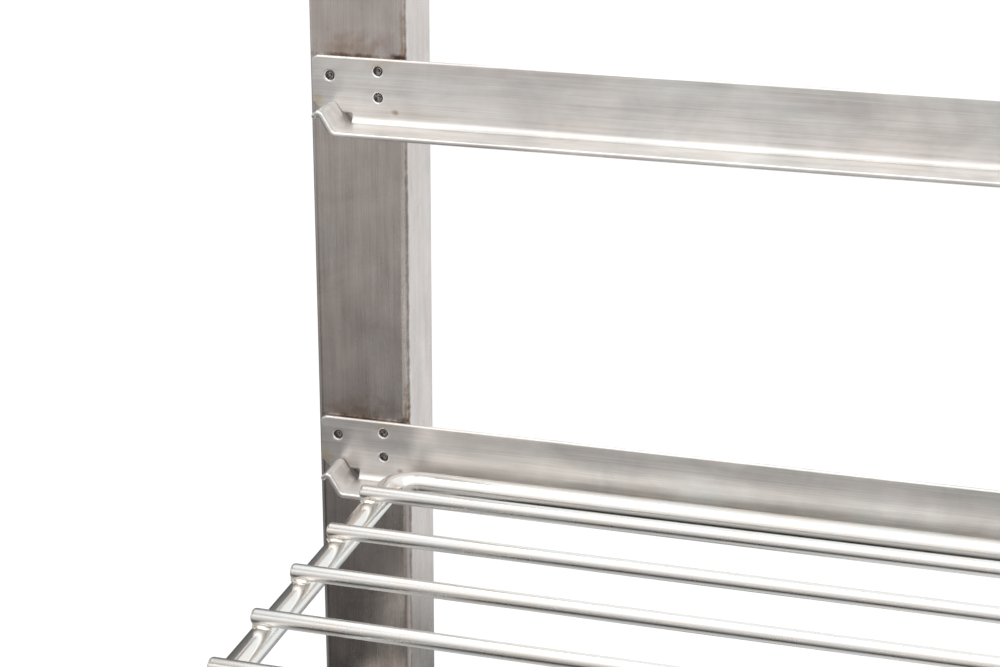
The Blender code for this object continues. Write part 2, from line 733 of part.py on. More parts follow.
for side_label in SIDES:
    upright(side_label)
    for end_label in ("top", "bottom"):
        end_bracket(side_label, end_label)
    for lug_label in LUG_HEIGHTS:
        hinge_lug(side_label, lug_label)
    support(side_label)
    hinge_keeper(side_label)
    keeper_rivets(side_label)
    for level_label in RAIL_TOPS:
        rail_rivets(level_label, side_label)

rails = {level_label: rail(level_label) for level_label in RAIL_TOPS}
keeper_holes = keeper_rivet_places(-1) + keeper_rivet_places(1)
shelf_rail_holes = hole_cutters("cut_shelf_keepers", keeper_holes, POP_HOLE, PLATE_FRONT)
boolean(rails["shelf"], "DIFFERENCE", shelf_rail_holes)
stow_latch(rails["top"])

shelf_frame()
shelf_rods()
shelf_centre_bar()
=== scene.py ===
"""Looks of the wall mounted fold down drying rack: finely built sheet, tube, wire and welds.

Metres. X = 0 is the middle of the rack, Y = 0 the wall plane, Z = 0 the uprights' lower ends.
"""

import json
import math
import random

import bmesh
import bpy
from mathutils import Matrix, Quaternion, Vector
from mathutils.geometry import tessellate_polygon


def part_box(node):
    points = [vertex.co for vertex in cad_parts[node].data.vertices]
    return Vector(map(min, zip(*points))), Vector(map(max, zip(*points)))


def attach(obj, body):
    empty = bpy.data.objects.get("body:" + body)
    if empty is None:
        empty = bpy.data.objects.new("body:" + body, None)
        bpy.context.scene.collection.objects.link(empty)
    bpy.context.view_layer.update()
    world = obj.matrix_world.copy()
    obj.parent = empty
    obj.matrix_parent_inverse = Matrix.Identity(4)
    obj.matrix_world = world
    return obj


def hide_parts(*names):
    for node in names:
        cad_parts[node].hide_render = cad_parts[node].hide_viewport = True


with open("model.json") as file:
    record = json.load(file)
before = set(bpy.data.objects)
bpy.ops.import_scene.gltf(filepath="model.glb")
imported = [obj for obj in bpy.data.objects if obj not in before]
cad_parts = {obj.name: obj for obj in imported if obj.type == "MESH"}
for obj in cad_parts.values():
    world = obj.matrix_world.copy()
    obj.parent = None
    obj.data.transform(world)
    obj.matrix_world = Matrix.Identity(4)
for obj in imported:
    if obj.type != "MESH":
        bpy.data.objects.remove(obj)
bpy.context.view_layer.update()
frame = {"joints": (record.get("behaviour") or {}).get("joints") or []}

SIDES = {"left": -1, "right": 1}
LEVELS = ("shelf", "middle", "top")
EDGE = 0.00025


# ---- node materials
def color_ramp(tree, source, stops):
    made = tree.nodes.new("ShaderNodeValToRGB")
    elements = made.color_ramp.elements
    while len(elements) < len(stops):
        elements.new(0.5)
    for element, (place, color) in zip(elements, stops):
        element.position = place
        element.color = (*color, 1.0)
    tree.links.new(source, made.inputs["Fac"])
    return made.outputs["Color"]


class Nodes:
    """Short calls for building one material's node tree."""

    def __init__(self, name, metallic, roughness):
        self.material = bpy.data.materials.new(name)
        self.material.use_nodes = True
        self.tree = self.material.node_tree
        self.shader = self.tree.nodes["Principled BSDF"]
        self.shader.inputs["Metallic"].default_value = metallic
        self.shader.inputs["Roughness"].default_value = roughness
        self.coordinates = self.tree.nodes.new("ShaderNodeTexCoord").outputs["Object"]

    def link(self, source, target):
        self.tree.links.new(source, target)

    def stretched(self, scale):
        """Object coordinates multiplied by a scale for each axis."""
        mapping = self.tree.nodes.new("ShaderNodeMapping")
        mapping.inputs["Scale"].default_value = scale
        self.link(self.coordinates, mapping.inputs["Vector"])
        return mapping.outputs["Vector"]

    def noise(self, scale, detail, roughness, vector=None, distortion=0.0):
        made = self.tree.nodes.new("ShaderNodeTexNoise")
        made.inputs["Scale"].default_value = scale
        made.inputs["Detail"].default_value = detail
        made.inputs["Roughness"].default_value = roughness
        made.inputs["Distortion"].default_value = distortion
        self.link(vector or self.coordinates, made.inputs["Vector"])
        return made.outputs["Fac"]

    def ramp(self, value, stops):
        return color_ramp(self.tree, value, stops)

    def span(self, value, low, high, out_low, out_high):
        made = self.tree.nodes.new("ShaderNodeMapRange")
        for name, number in (("From Min", low), ("From Max", high),
                             ("To Min", out_low), ("To Max", out_high)):
            made.inputs[name].default_value = number
        self.link(value, made.inputs["Value"])
        return made.outputs["Result"]

    def math(self, operation, first, second):
        made = self.tree.nodes.new("ShaderNodeMath")
        made.operation = operation
        for socket, value in zip(made.inputs, (first, second)):
            if isinstance(value, (int, float)):
                socket.default_value = value
            else:
                self.link(value, socket)
        return made.outputs["Value"]

    def vector(self, operation, first, second=None):
        made = self.tree.nodes.new("ShaderNodeVectorMath")
        made.operation = operation
        self.link(first, made.inputs[0])
        if second is not None:
            made.inputs[1].default_value = second
        return made.outputs["Value" if operation == "LENGTH" else "Vector"]

    def mix(self, factor, first, second, blend_type="MIX"):
        made = self.tree.nodes.new("ShaderNodeMix")
        made.data_type = "RGBA"
        made.blend_type = blend_type
        for socket, value in ((made.inputs["Factor"], factor),
                              (made.inputs["A"], first), (made.inputs["B"], second)):
            if isinstance(value, (int, float)):
                socket.default_value = value
            elif isinstance(value, tuple):
                socket.default_value = (*value, 1.0)
            else:
                self.link(value, socket)
        return made.outputs["Result"]

    def axis(self, name):
        split = self.tree.nodes.new("ShaderNodeSeparateXYZ")
        self.link(self.coordinates, split.inputs["Vector"])
        return split.outputs[name]

    def bump(self, height, strength, distance, before=None):
        made = self.tree.nodes.new("ShaderNodeBump")
        made.inputs["Strength"].default_value = strength
        made.inputs["Distance"].default_value = distance
        self.link(height, made.inputs["Height"])
        if before is not None:
            self.link(before, made.inputs["Normal"])
        return made.outputs["Normal"]

    def finish(self, color, roughness, normal):
        self.link(color, self.shader.inputs["Base Color"])
        self.link(roughness, self.shader.inputs["Roughness"])
        self.link(normal, self.shader.inputs["Normal"])
        return self.material


def grain_scale(grain, fine, coarse):
    """Scale of a texture that is drawn out along one axis."""
    return tuple(coarse if name == grain else fine for name in "XYZ")


class StainAndShadePatch:
    """A patch of tint round a point given by its distances from the three zero planes; it serves
    for real heat tint and also for painted shadow and painted dark reflection.
    """

    def __init__(self, centre, reach, tint, strength):
        self.centre = centre
        self.reach = reach
        self.tint = tint
        self.strength = strength

    def over(self, nodes, mirrored, color, ragged):
        offset = nodes.vector("SUBTRACT", mirrored, self.centre)
        spread = nodes.vector("DIVIDE", offset, self.reach)
        distance = nodes.vector("LENGTH", spread)
        torn = nodes.math("ADD", distance, nodes.span(ragged, 0.3, 0.7, -0.35, 0.35))
        amount = nodes.span(torn, 0.25, 1.0, self.strength, 0.0)
        return nodes.mix(amount, color, nodes.mix(1.0, color, self.tint, "MULTIPLY"))


STRAW = (0.95, 0.84, 0.66)
BROWN = (0.60, 0.47, 0.36)
PURPLE = (0.72, 0.62, 0.64)
# Painted shadow colour, for the gap along each rail's top edge.
GAP_SHADOW = (0.20, 0.15, 0.12)
# Painted dark reflection colour, for the uprights' inner front folds.
FOLD_DARK_REFLECTION = (0.42, 0.39, 0.37)


def brushed_steel(name, grain, dark, light, stain_and_shade_patches=(), roughness=0.30, anisotropy=0.6):
    """Brushed stainless sheet: drawn-out streaks, cloudy patches, heat stains and the painted
    shade patches given with them.
    """
    nodes = Nodes(name, 1.0, roughness)
    streaks = nodes.noise(1.0, 4.0, 0.6, nodes.stretched(grain_scale(grain, 2400, 16)))
    fine = nodes.noise(1.0, 2.0, 0.7, nodes.stretched(grain_scale(grain, 8000, 70)))
    bands = nodes.noise(1.0, 3.0, 0.55, nodes.stretched(grain_scale(grain, 190, 26)))
    cloud = nodes.noise(42.0, 4.0, 0.6, distortion=0.5)
    shade = nodes.math("ADD", nodes.math("MULTIPLY", streaks, 0.35),
                       nodes.math("MULTIPLY", bands, 0.30))
    shade = nodes.math("ADD", shade, nodes.math("MULTIPLY", cloud, 0.35))
    color = nodes.ramp(shade, [(0.37, dark), (0.63, light)])
    hue_patches = nodes.noise(1.0, 3.0, 0.6, nodes.stretched(grain_scale(grain, 75, 22)))
    hue = nodes.ramp(hue_patches, [(0.36, (1.0, 0.972, 0.955)), (0.64, (0.985, 1.0, 0.99))])
    color = nodes.mix(1.0, color, hue, "MULTIPLY")
    if stain_and_shade_patches:
        ragged = nodes.noise(230.0, 3.0, 0.6)
        mirrored = nodes.vector("ABSOLUTE", nodes.coordinates)
        for stain_and_shade_patch in stain_and_shade_patches:
            color = stain_and_shade_patch.over(nodes, mirrored, color, ragged)
    rough = nodes.span(nodes.math("ADD", nodes.math("MULTIPLY", fine, 0.5),
                                  nodes.math("MULTIPLY", cloud, 0.5)),
                       0.3, 0.7, roughness - 0.05, roughness + 0.06)
    normal = nodes.bump(streaks, 0.16, 0.00004)
    normal = nodes.bump(fine, 0.10, 0.00003, normal)
    nodes.shader.inputs["Anisotropic"].default_value = anisotropy
    nodes.shader.inputs["Anisotropic Rotation"].default_value = 0.25
    tangent = nodes.tree.nodes.new("ShaderNodeTangent")
    tangent.direction_type = "UV_MAP"
    tangent.uv_map = "grain"
    nodes.link(tangent.outputs["Tangent"], nodes.shader.inputs["Tangent"])
    return nodes.finish(color, rough, normal)


def polished_steel(name, base, roughness):
    """Polished tube and wire: faint draw lines and soft cloudiness."""
    nodes = Nodes(name, 1.0, roughness)
    cloud = nodes.noise(60.0, 3.0, 0.6)
    lines = nodes.noise(1.0, 3.0, 0.6, nodes.stretched((40, 1500, 1500)))
    warm = tuple(channel * factor for channel, factor in zip(base, (1.02, 0.985, 0.95)))
    cool = tuple(channel * factor for channel, factor in zip(base, (0.97, 0.995, 1.01)))
    color = nodes.ramp(cloud, [(0.35, warm), (0.65, cool)])
    rough = nodes.span(cloud, 0.35, 0.65, roughness - 0.02, roughness + 0.03)
    return nodes.finish(color, rough, nodes.bump(lines, 0.03, 0.00002))


def weld_steel():
    """Weld metal: bright ripples with straw and brown heat tint."""
    nodes = Nodes("weld_steel", 1.0, 0.3)
    patches = nodes.noise(420.0, 3.0, 0.6)
    color = nodes.ramp(patches, [(0.30, (0.55, 0.43, 0.32)), (0.42, (0.78, 0.71, 0.62)),
                                 (0.55, (0.90, 0.87, 0.82))])
    ripples = nodes.noise(1500.0, 2.0, 0.5)
    rough = nodes.span(patches, 0.3, 0.7, 0.42, 0.2)
    return nodes.finish(color, rough, nodes.bump(ripples, 0.35, 0.00012))


def fastener_steel():
    nodes = Nodes("fastener_steel", 1.0, 0.32)
    # The fasteners are coloured dark grey overall, with a fine light and dark mottle.
    dark_mottle = nodes.noise(700.0, 3.0, 0.6)
    color = nodes.ramp(dark_mottle, [(0.32, (0.20, 0.18, 0.165)), (0.5, (0.40, 0.385, 0.37)),
                               (0.65, (0.64, 0.62, 0.60))])
    rough = nodes.span(dark_mottle, 0.3, 0.7, 0.42, 0.24)
    return nodes.finish(color, rough, nodes.bump(dark_mottle, 0.2, 0.00008))


def grey_nylon():
    nodes = Nodes("grey_nylon", 0.0, 0.5)
    mottle = nodes.noise(500.0, 3.0, 0.6)
    color = nodes.ramp(mottle, [(0.3, (0.035, 0.036, 0.040)), (0.7, (0.060, 0.061, 0.066))])
    rough = nodes.span(mottle, 0.3, 0.7, 0.42, 0.60)
    turned = nodes.noise(1.0, 2.0, 0.5, nodes.stretched((900, 4000, 900)))
    return nodes.finish(color, rough, nodes.bump(turned, 0.15, 0.00006))


# ---- paths
def arc_at_corner(before, corner, after, radius, steps):
    """Points of the arc that rounds one corner of a path."""
    back = (before - corner).normalized()
    ahead = (after - corner).normalized()
    half = back.angle(ahead) / 2
    centre = corner + (back + ahead).normalized() * (radius / math.sin(half))
    first = corner + back * (radius / math.tan(half)) - centre
    axis = back.cross(ahead)
    turn = 2 * half - math.pi
    return [centre + Quaternion(axis, turn * i / steps) @ first for i in range(steps + 1)]


def rounded_path(points, radius, steps, closed=False):
    knots = [Vector(point) for point in points]
    path = []
    for i, knot in enumerate(knots):
        if not closed and i in (0, len(knots) - 1):
            path.append(knot)
            continue
        after = knots[(i + 1) % len(knots)]
        path += arc_at_corner(knots[i - 1], knot, after, radius, steps)
    return path


class Fold:
    """The middle line of a folded sheet: straight runs joined by arcs, measured by its length."""

    def __init__(self, points, radii):
        knots = [Vector((*point, 0.0)) for point in points]
        self.runs = []
        self.length = 0.0
        self.bends = []
        place = knots[0]
        for i, radius in enumerate(radii, start=1):
            back = (knots[i - 1] - knots[i]).normalized()
            ahead = (knots[i + 1] - knots[i]).normalized()
            half = back.angle(ahead) / 2
            start = knots[i] + back * (radius / math.tan(half))
            centre = knots[i] + (back + ahead).normalized() * (radius / math.sin(half))
            self.add_line(place, start)
            turn = (math.pi - 2 * half) * (1 if (-back).cross(ahead).z > 0 else -1)
            self.add_arc(centre, start, turn, radius)
            place = knots[i] + ahead * (radius / math.tan(half))
        self.add_line(place, knots[-1])

    def add_line(self, start, end):
        span = (end - start).length
        self.runs.append(("line", self.length, start, (end - start).normalized()))
        self.length += span

    def add_arc(self, centre, start, turn, radius):
        span = abs(turn) * radius
        self.runs.append(("arc", self.length, centre, start - centre, turn / span))
        self.bends.append((self.length, self.length + span))
        self.length += span

    def at(self, travel, lift, on_last=False):
        """The point at a length along the line, or on its last run, lifted off it to the left."""
        run = self.runs[0]
        for candidate in self.runs:
            if on_last or travel >= candidate[1] - 1e-9:
                run = candidate
        along = travel - run[1]
        if run[0] == "line":
            left = Vector((-run[3].y, run[3].x, 0))
            return run[2] + run[3] * along + left * lift
        spoke = Quaternion((0, 0, 1), run[4] * along) @ run[3]
        inward = -1 if run[4] > 0 else 1
        return run[2] + spoke * (1 + inward * lift / spoke.length)

    def cuts(self, steps):
        """Lengths at which a flat pattern is divided so that it bends smoothly."""
        return [
            start + (end - start) * i / steps
            for start, end in self.bends
            for i in range(steps + 1)
        ]


# ---- flat patterns
def circle(u, v, radius, steps=28):
    """A hole's outline, clockwise."""
    angles = [-math.tau * i / steps for i in range(steps)]
    return [(u + radius * math.cos(a), v + radius * math.sin(a)) for a in angles]


def softened(outline, radii, steps=6):
    """The outline with each corner rounded to its radius; 0 keeps it sharp."""
    made = []
    knots = [Vector((*point, 0.0)) for point in outline]
    for i, (knot, radius) in enumerate(zip(knots, radii)):
        if radius == 0:
            made.append((knot.x, knot.y))
            continue
        after = knots[(i + 1) % len(knots)]
        made += [(p.x, p.y) for p in arc_at_corner(knots[i - 1], knot, after, radius, steps)]
    return made


def strip(width, length, first, last):
    """The outline of a strip whose corners are rounded by one radius at each end."""
    corners = [(0, 0), (width, 0), (width, length), (0, length)]
    return softened(corners, (first, first, last, last))


def inset(loop, amount):
    """The loop moved to its left, which is inside an outline and outside a hole."""
    moved = []
    for i, point in enumerate(loop):
        here = Vector(point)
        back = (here - Vector(loop[i - 1])).normalized()
        ahead = (Vector(loop[(i + 1) % len(loop)]) - here).normalized()
        lefts = Vector((-back.y, back.x)), Vector((-ahead.y, ahead.x))
        share = amount / (1 + lefts[0].dot(lefts[1]))
        moved.append(here + (lefts[0] + lefts[1]) * share)
    return moved


def flat_plate(loops, thickness, edge, hole_edge):
    """A plate with rounded rims in (u, v, lift), from an outline and then holes run clockwise."""
    bm = bmesh.new()
    half = thickness / 2
    caps = {0: [], -1: []}
    for number, loop in enumerate(loops):
        rim = hole_edge if number else edge
        turns = [math.radians(30 * i) for i in range(4)]
        levels = [(half - rim * (1 - math.cos(t)), rim * (1 - math.sin(t))) for t in turns]
        levels += [(-lift, pull) for lift, pull in reversed(levels)]
        rings = [
            [bm.verts.new((p.x, p.y, lift)) for p in inset(loop, pull)]
            for lift, pull in levels
        ]
        for upper, lower in zip(rings, rings[1:]):
            for i in range(len(loop)):
                j = (i + 1) % len(loop)
                bm.faces.new((upper[i], lower[i], lower[j], upper[j]))
        for level, found in caps.items():
            found.append(rings[level])
    for rings in caps.values():
        flat = [[vert.co for vert in ring] for ring in rings]
        verts = [vert for ring in rings for vert in ring]
        for corners in tessellate_polygon(flat):
            picked = [verts[index] for index in corners]
            if len(set(picked)) == 3:
                bm.faces.new(picked)
    return bm


def divide(bm, axis, places):
    """Cuts every face where it crosses the given places on one axis."""
    normal = Vector((0, 0, 0))
    normal[axis] = 1.0
    for place in places:
        geometry = bm.verts[:] + bm.edges[:] + bm.faces[:]
        bmesh.ops.bisect_plane(bm, geom=geometry, plane_co=normal * place, plane_no=normal,
                               dist=1e-7)


def folded(name, loops, thickness, fold, place, grain="u", before=None, edge=EDGE,
           hole_edge=EDGE, steps=8):
    """Cuts a flat pattern, divides it at its bends and folds it into place."""
    bm = flat_plate(loops, thickness, edge, hole_edge)
    divide(bm, 1, fold.cuts(steps))
    if before is not None:
        divide(bm, 0, before.cuts)
    layer = bm.loops.layers.uv.new("grain")
    for face in bm.faces:
        for corner in face.loops:
            u, v, _ = corner.vert.co
            corner[layer].uv = (u, v) if grain == "u" else (v, u)
    for vert in bm.verts:
        u, v, lift = vert.co
        on_last = False
        if before is not None and v > fold.bends[0][0]:
            u, lift, on_last = before.move(u, lift)
        flat = fold.at(v, lift, on_last)
        vert.co = place(u, flat.x, flat.y)
    return new_piece(name, bm, flat=True)


def new_piece(name, bm, flat=False, sharp=None):
    """An object from a finished bmesh; edges past the sharp angle, in degrees, stay sharp."""
    bmesh.ops.recalc_face_normals(bm, faces=bm.faces)
    mesh = bpy.data.meshes.new(name)
    bm.to_mesh(mesh)
    bm.free()
    mesh.shade_smooth()
    if sharp is not None:
        mesh.set_sharp_from_angle(angle=math.radians(sharp))
    made = bpy.data.objects.new(name, mesh)
    bpy.context.scene.collection.objects.link(made)
    if flat:
        weighted = made.modifiers.new("flat faces", "WEIGHTED_NORMAL")
        weighted.keep_sharp = True
    return made


def side_plane(x0):
    """Places a folded pattern whose section lies in Y and Z and whose u runs along X."""
    return lambda u, first, second: Vector((x0 + u, first, second))


# ---- turned and bent pieces
def lathe(bm, profile, place, steps, closed=False):
    """Turns (radius, height) points about Z; a closed profile joins its last to its first."""
    rings = []
    for radius, height in profile:
        angles = [math.tau * i / steps for i in range(steps)] if radius else [0.0]
        rings.append([
            bm.verts.new(place @ Vector((radius * math.cos(a), radius * math.sin(a), height)))
            for a in angles
        ])
    pairs = list(zip(rings, rings[1:]))
    if closed:
        pairs.append((rings[-1], rings[0]))
    for upper, lower in pairs:
        for i in range(steps):
            j = (i + 1) % steps
            corners = [upper[i % len(upper)], lower[i % len(lower)],
                       lower[j % len(lower)], upper[j % len(upper)]]
            unique = list(dict.fromkeys(corners))
            if len(unique) > 2:
                bm.faces.new(unique)


def turned_piece(name, profile, place, steps=40, sharp=50, closed=False):
    bm = bmesh.new()
    lathe(bm, profile, place, steps, closed)
    return new_piece(name, bm, sharp=sharp)


def bar_profile(length, radius, edge, steps=3):
    """A bar from 0 to its length with rounded ends, top to bottom."""
    arc = [math.pi / 2 * i / steps for i in range(steps + 1)]
    top = [(radius - edge + edge * math.sin(a), length - edge + edge * math.cos(a)) for a in arc]
    bottom = [(radius, length - height) for radius, height in reversed(top)]
    return [(0, length)] + top + bottom + [(0, 0)]


def along(start, end):
    """A matrix that lays +Z from the start towards the end."""
    start = Vector(start)
    turn = Vector((0, 0, 1)).rotation_difference(Vector(end) - start)
    return Matrix.Translation(start) @ turn.to_matrix().to_4x4()


def bar(name, start, end, radius, edge):
    length = (Vector(end) - Vector(start)).length
    return turned_piece(name, bar_profile(length, radius, edge), along(start, end), 36, None)


def bent_tube(name, path, radius, closed=False, sides=32):
    """A round bar swept along the path in rings, with rounded ends where it is open."""
    bm = bmesh.new()
    last = len(path) - 1
    angles = [math.tau * k / sides for k in range(sides)]
    rings = []
    one = None
    for i, point in enumerate(path):
        if closed:
            ahead = (path[(i + 1) % len(path)] - path[i - 1]).normalized()
        else:
            ahead = (path[min(i + 1, last)] - path[max(i - 1, 0)]).normalized()
        if one is None:
            one = ahead.orthogonal().normalized()
        one = (one - ahead * one.dot(ahead)).normalized()
        two = ahead.cross(one)
        rings.append([
            bm.verts.new(point + (one * math.cos(a) + two * math.sin(a)) * radius)
            for a in angles
        ])
    pairs = list(zip(rings, rings[1:]))
    if closed:
        pairs.append((rings[-1], rings[0]))
    for first, second in pairs:
        for k in range(sides):
            j = (k + 1) % sides
            bm.faces.new((first[k], first[j], second[j], second[k]))
    if not closed:
        ends = [bm.faces.new(rings[0]), bm.faces.new(rings[-1])]
        rims = [edge for face in ends for edge in face.edges]
        bmesh.ops.bevel(bm, geom=rims, offset=radius * 0.12, segments=3, affect="EDGES")
    return new_piece(name, bm, sharp=50)


# ---- placing finished pieces
def show(piece, body, slot, material, *nodes):
    piece.data.materials.clear()
    piece.data.materials.append(material)
    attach(piece, body)
    if nodes:
        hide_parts(*nodes)
    return piece


# ---- sizes read from the frame
low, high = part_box("upright_left")
UPRIGHT_WIDTH = high.x - low.x
UPRIGHT_FRONT = low.y
UPRIGHT_TOP = high.z
UPRIGHT_SHEET = 0.0015
UPRIGHT_X = -(low.x + high.x) / 2
HALF_WIDTH = -low.x
RAIL_SHEET = 0.002
RAIL_BOX = {level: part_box(f"{level}_rail") for level in LEVELS}
RAIL_BEND = 0.0042
RAIL_FOOT = 0.0225
RAIL_FOOT_CHAMFER = 0.0035
TAB_LINE = [(0.0, 0.0), (0.0049, 0.0), (0.0109, 0.0098), (0.0127, 0.0056)]
TAB_BENDS = (0.003, 0.0015)
TAB_ROOT = 0.0215
TAB_NECK = 0.0185
TAB_WIDTH = 0.0177
LUG_SHEET = 0.0025
RIVET_HOLE = 0.00175
RIVET_SHANK = 0.00145
KEEPER_HOLE = 0.0022
SCREW_HOLE = 0.00325
LATCH_HOLE = 0.0024
LEG_BORE = 0.0043
SCREW_FROM_TIP = 0.0135
EYE_FROM_TIP = 0.010
ARM_RADIUS = 0.004
BRACE_RADIUS = 0.003
TUBE_BEND = 0.012
WIRE_END = 0.0012
BAR_END = 0.0003
FACING_FRONT = Matrix.Rotation(math.pi / 2, 4, "X")
low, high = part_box("shelf_frame")
TUBE_RADIUS = (high.z - low.z) / 2
TUBE_Z = (high.z + low.z) / 2
REAR_TUBE_Y = high.y - TUBE_RADIUS
FRONT_TUBE_Y = low.y + TUBE_RADIUS
SIDE_TUBE_X = high.x - TUBE_RADIUS
ROD_NAMES = [f"shelf_rod_{i}" for i in range(1, 8)]
joint_places = {joint["name"]: Vector(joint["pos_m"]) for joint in frame["joints"]}


def centre_of(node):
    corner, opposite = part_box(node)
    return (corner + opposite) / 2


def rivet_spots(level, side_name):
    """Centres of the three rivets at one end of a rail."""
    return [centre_of(f"{level}_rail_rivet_{side_name}_{number}") for number in (1, 2, 3)]


def keeper_spots(side_name):
    """Centres of the two rivets of one keeper."""
    return [centre_of(f"keeper_rivet_{side_name}_{number}") for number in (1, 2)]


# ---- wall frame
def make_uprights(material):
    inner = UPRIGHT_WIDTH / 2 - UPRIGHT_SHEET / 2
    front = UPRIGHT_FRONT + UPRIGHT_SHEET / 2
    radius = 0.003 - UPRIGHT_SHEET / 2
    for side_name, side in SIDES.items():
        middle = side * UPRIGHT_X
        section = [(middle - inner, 0), (middle - inner, front), (middle + inner, front),
                   (middle + inner, 0)]
        fold = Fold(section, (radius, radius))
        web_start = fold.bends[0][1]
        web_x = middle - inner + radius
        outline = [(0, 0), (UPRIGHT_TOP, 0), (UPRIGHT_TOP, fold.length), (0, fold.length)]
        holes = [
            circle(spot.z, web_start + spot.x - web_x, RIVET_HOLE)
            for level in LEVELS
            for spot in rivet_spots(level, side_name)
        ]
        piece = folded(f"upright_skin_{side_name}", [outline] + holes, UPRIGHT_SHEET, fold,
                       lambda u, x, y: Vector((x, y, u)))
        show(piece, "wall_frame", "brushed_steel", material, f"upright_{side_name}")


class EndTabs:
    """Bends a rail's two flange ends up and over, before the rail's own fold."""

    def __init__(self, half_length):
        self.fold = Fold(TAB_LINE, TAB_BENDS)
        self.root = half_length - TAB_ROOT
        self.neck = half_length - TAB_NECK
        steps = self.fold.cuts(8)
        self.cuts = [sign * (self.root + step) for sign in (-1, 1) for step in steps]

    def move(self, u, lift):
        """The new u and lift, and whether the place is past the rail's notch."""
        if abs(u) <= self.root:
            return u, lift, False
        sign = 1 if u > 0 else -1
        bent = self.fold.at(abs(u) - self.root, -lift)
        margin = 0.0001
        return sign * (self.root + bent.x), -bent.y, abs(u) > self.neck + margin


def rail_outline(fold, tabs, end, tab_first_v):
    """Flat pattern of one rail, anticlockwise, with its foot chamfers, notches and tabs."""
    flat_from = fold.bends[0][1]
    tab_end = tabs.root + tabs.fold.length
    right = [
        (end, 0.0, 0.0025),
        (end, RAIL_FOOT - RAIL_FOOT_CHAMFER, 0.0012),
        (end - RAIL_FOOT_CHAMFER, RAIL_FOOT, 0.0012),
        (tabs.neck, RAIL_FOOT, 0.0004),
        (tabs.neck, flat_from, 0.0004),
        (tabs.neck + 0.0012, tab_first_v, 0.0004),
        (tab_end, tab_first_v, 0.0012),
        (tab_end, fold.length, 0.0016),
    ]
    left = [(-u, v, radius) for u, v, radius in reversed(right)]
    outline = right + left
    return softened([(u, v) for u, v, _ in outline], [radius for _, _, radius in outline])


def make_rails(material):
    for level in LEVELS:
        low, high = RAIL_BOX[level]
        plate_y = high.y - RAIL_SHEET / 2
        flange_z = low.z + RAIL_SHEET / 2
        fold = Fold([(plate_y, high.z), (plate_y, flange_z), (low.y, flange_z)], (RAIL_BEND,))
        tabs = EndTabs(HALF_WIDTH)
        holes = [
            circle(spot.x, high.z - spot.z, RIVET_HOLE)
            for side_name in SIDES
            for spot in rivet_spots(level, side_name)
        ]
        if level == "shelf":
            holes += [
                circle(spot.x, high.z - spot.z, KEEPER_HOLE)
                for side_name in SIDES
                for spot in keeper_spots(side_name)
            ]
        if level == "top":
            pin = joint_places["latch_turn"]
            holes.append(circle(0, fold.length - (pin.y - low.y), LATCH_HOLE))
        outline = rail_outline(fold, tabs, high.x, fold.length - TAB_WIDTH)
        piece = folded(f"{level}_rail_skin", [outline] + holes, RAIL_SHEET, fold,
                       side_plane(0.0), before=tabs, edge=0.0007, hole_edge=0.0009)
        show(piece, "wall_frame", "brushed_steel", material, f"{level}_rail")


def make_rail_rivets(material):
    """Flush rivets: a recessed face with a dished centre, and the formed tail behind."""
    for level in LEVELS:
        for side_name in SIDES:
            for number, spot in enumerate(rivet_spots(level, side_name), start=1):
                node = f"{level}_rail_rivet_{side_name}_{number}"
                low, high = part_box(node)
                depth = high.y - low.y
                tail = (high.x - low.x) / 2
                profile = [
                    (0.0, -0.0002),
                    (0.0003, -0.00025),
                    (0.0005, -0.0005),
                    (0.0006, -0.0015),
                    (0.0012, -0.0015),
                    (0.0013, -0.0003),
                    (RIVET_SHANK - 0.0001, -0.0001),
                    (RIVET_SHANK, -0.0002),
                    (RIVET_SHANK, -depth + 0.001),
                    (tail - 0.0002, -depth + 0.001),
                    (tail, -depth + 0.0008),
                    (tail, -depth + 0.0002),
                    (tail - 0.0002, -depth),
                    (0.0, -depth),
                ]
                place = Matrix.Translation((spot.x, low.y, spot.z)) @ FACING_FRONT
                piece = turned_piece(f"rivet_{node}", profile, place, 24, 40)
                show(piece, "wall_frame", "fastener_steel", material, node)


def make_end_brackets(material):
    thickness = 0.002
    for side_name in SIDES:
        for end_name, up in (("top", 1), ("bottom", -1)):
            node = f"end_bracket_{end_name}_{side_name}"
            low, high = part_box(node)
            width = high.x - low.x
            seat, tip = (low.z, high.z) if up > 0 else (high.z, low.z)
            level = seat + up * thickness / 2
            section = [(low.y, level), (-thickness / 2, level), (-thickness / 2, tip)]
            fold = Fold(section, (0.0025,))
            outline = strip(width, fold.length, 0.003, 0.008)
            hole = circle(width / 2, fold.length - SCREW_FROM_TIP, SCREW_HOLE)
            piece = folded(f"{node}_skin", [outline, hole], thickness, fold, side_plane(low.x))
            show(piece, "wall_frame", "brushed_steel", material, node)


def make_lugs(material):
    for side_name in SIDES:
        for height_name in ("lower", "upper"):
            node = f"hinge_lug_{height_name}_{side_name}"
            low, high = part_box(node)
            width = high.x - low.x
            back = high.y - LUG_SHEET / 2
            level = high.z - LUG_SHEET / 2
            fold = Fold([(back, low.z), (back, level), (low.y, level)], (0.003,))
            outline = strip(width, fold.length, 0.004, 0.009)
            eye = circle(width / 2, fold.length - EYE_FROM_TIP, LEG_BORE, 36)
            piece = folded(f"{node}_skin", [outline, eye], LUG_SHEET, fold, side_plane(low.x))
            show(piece, "wall_frame", "brushed_steel", material, node)


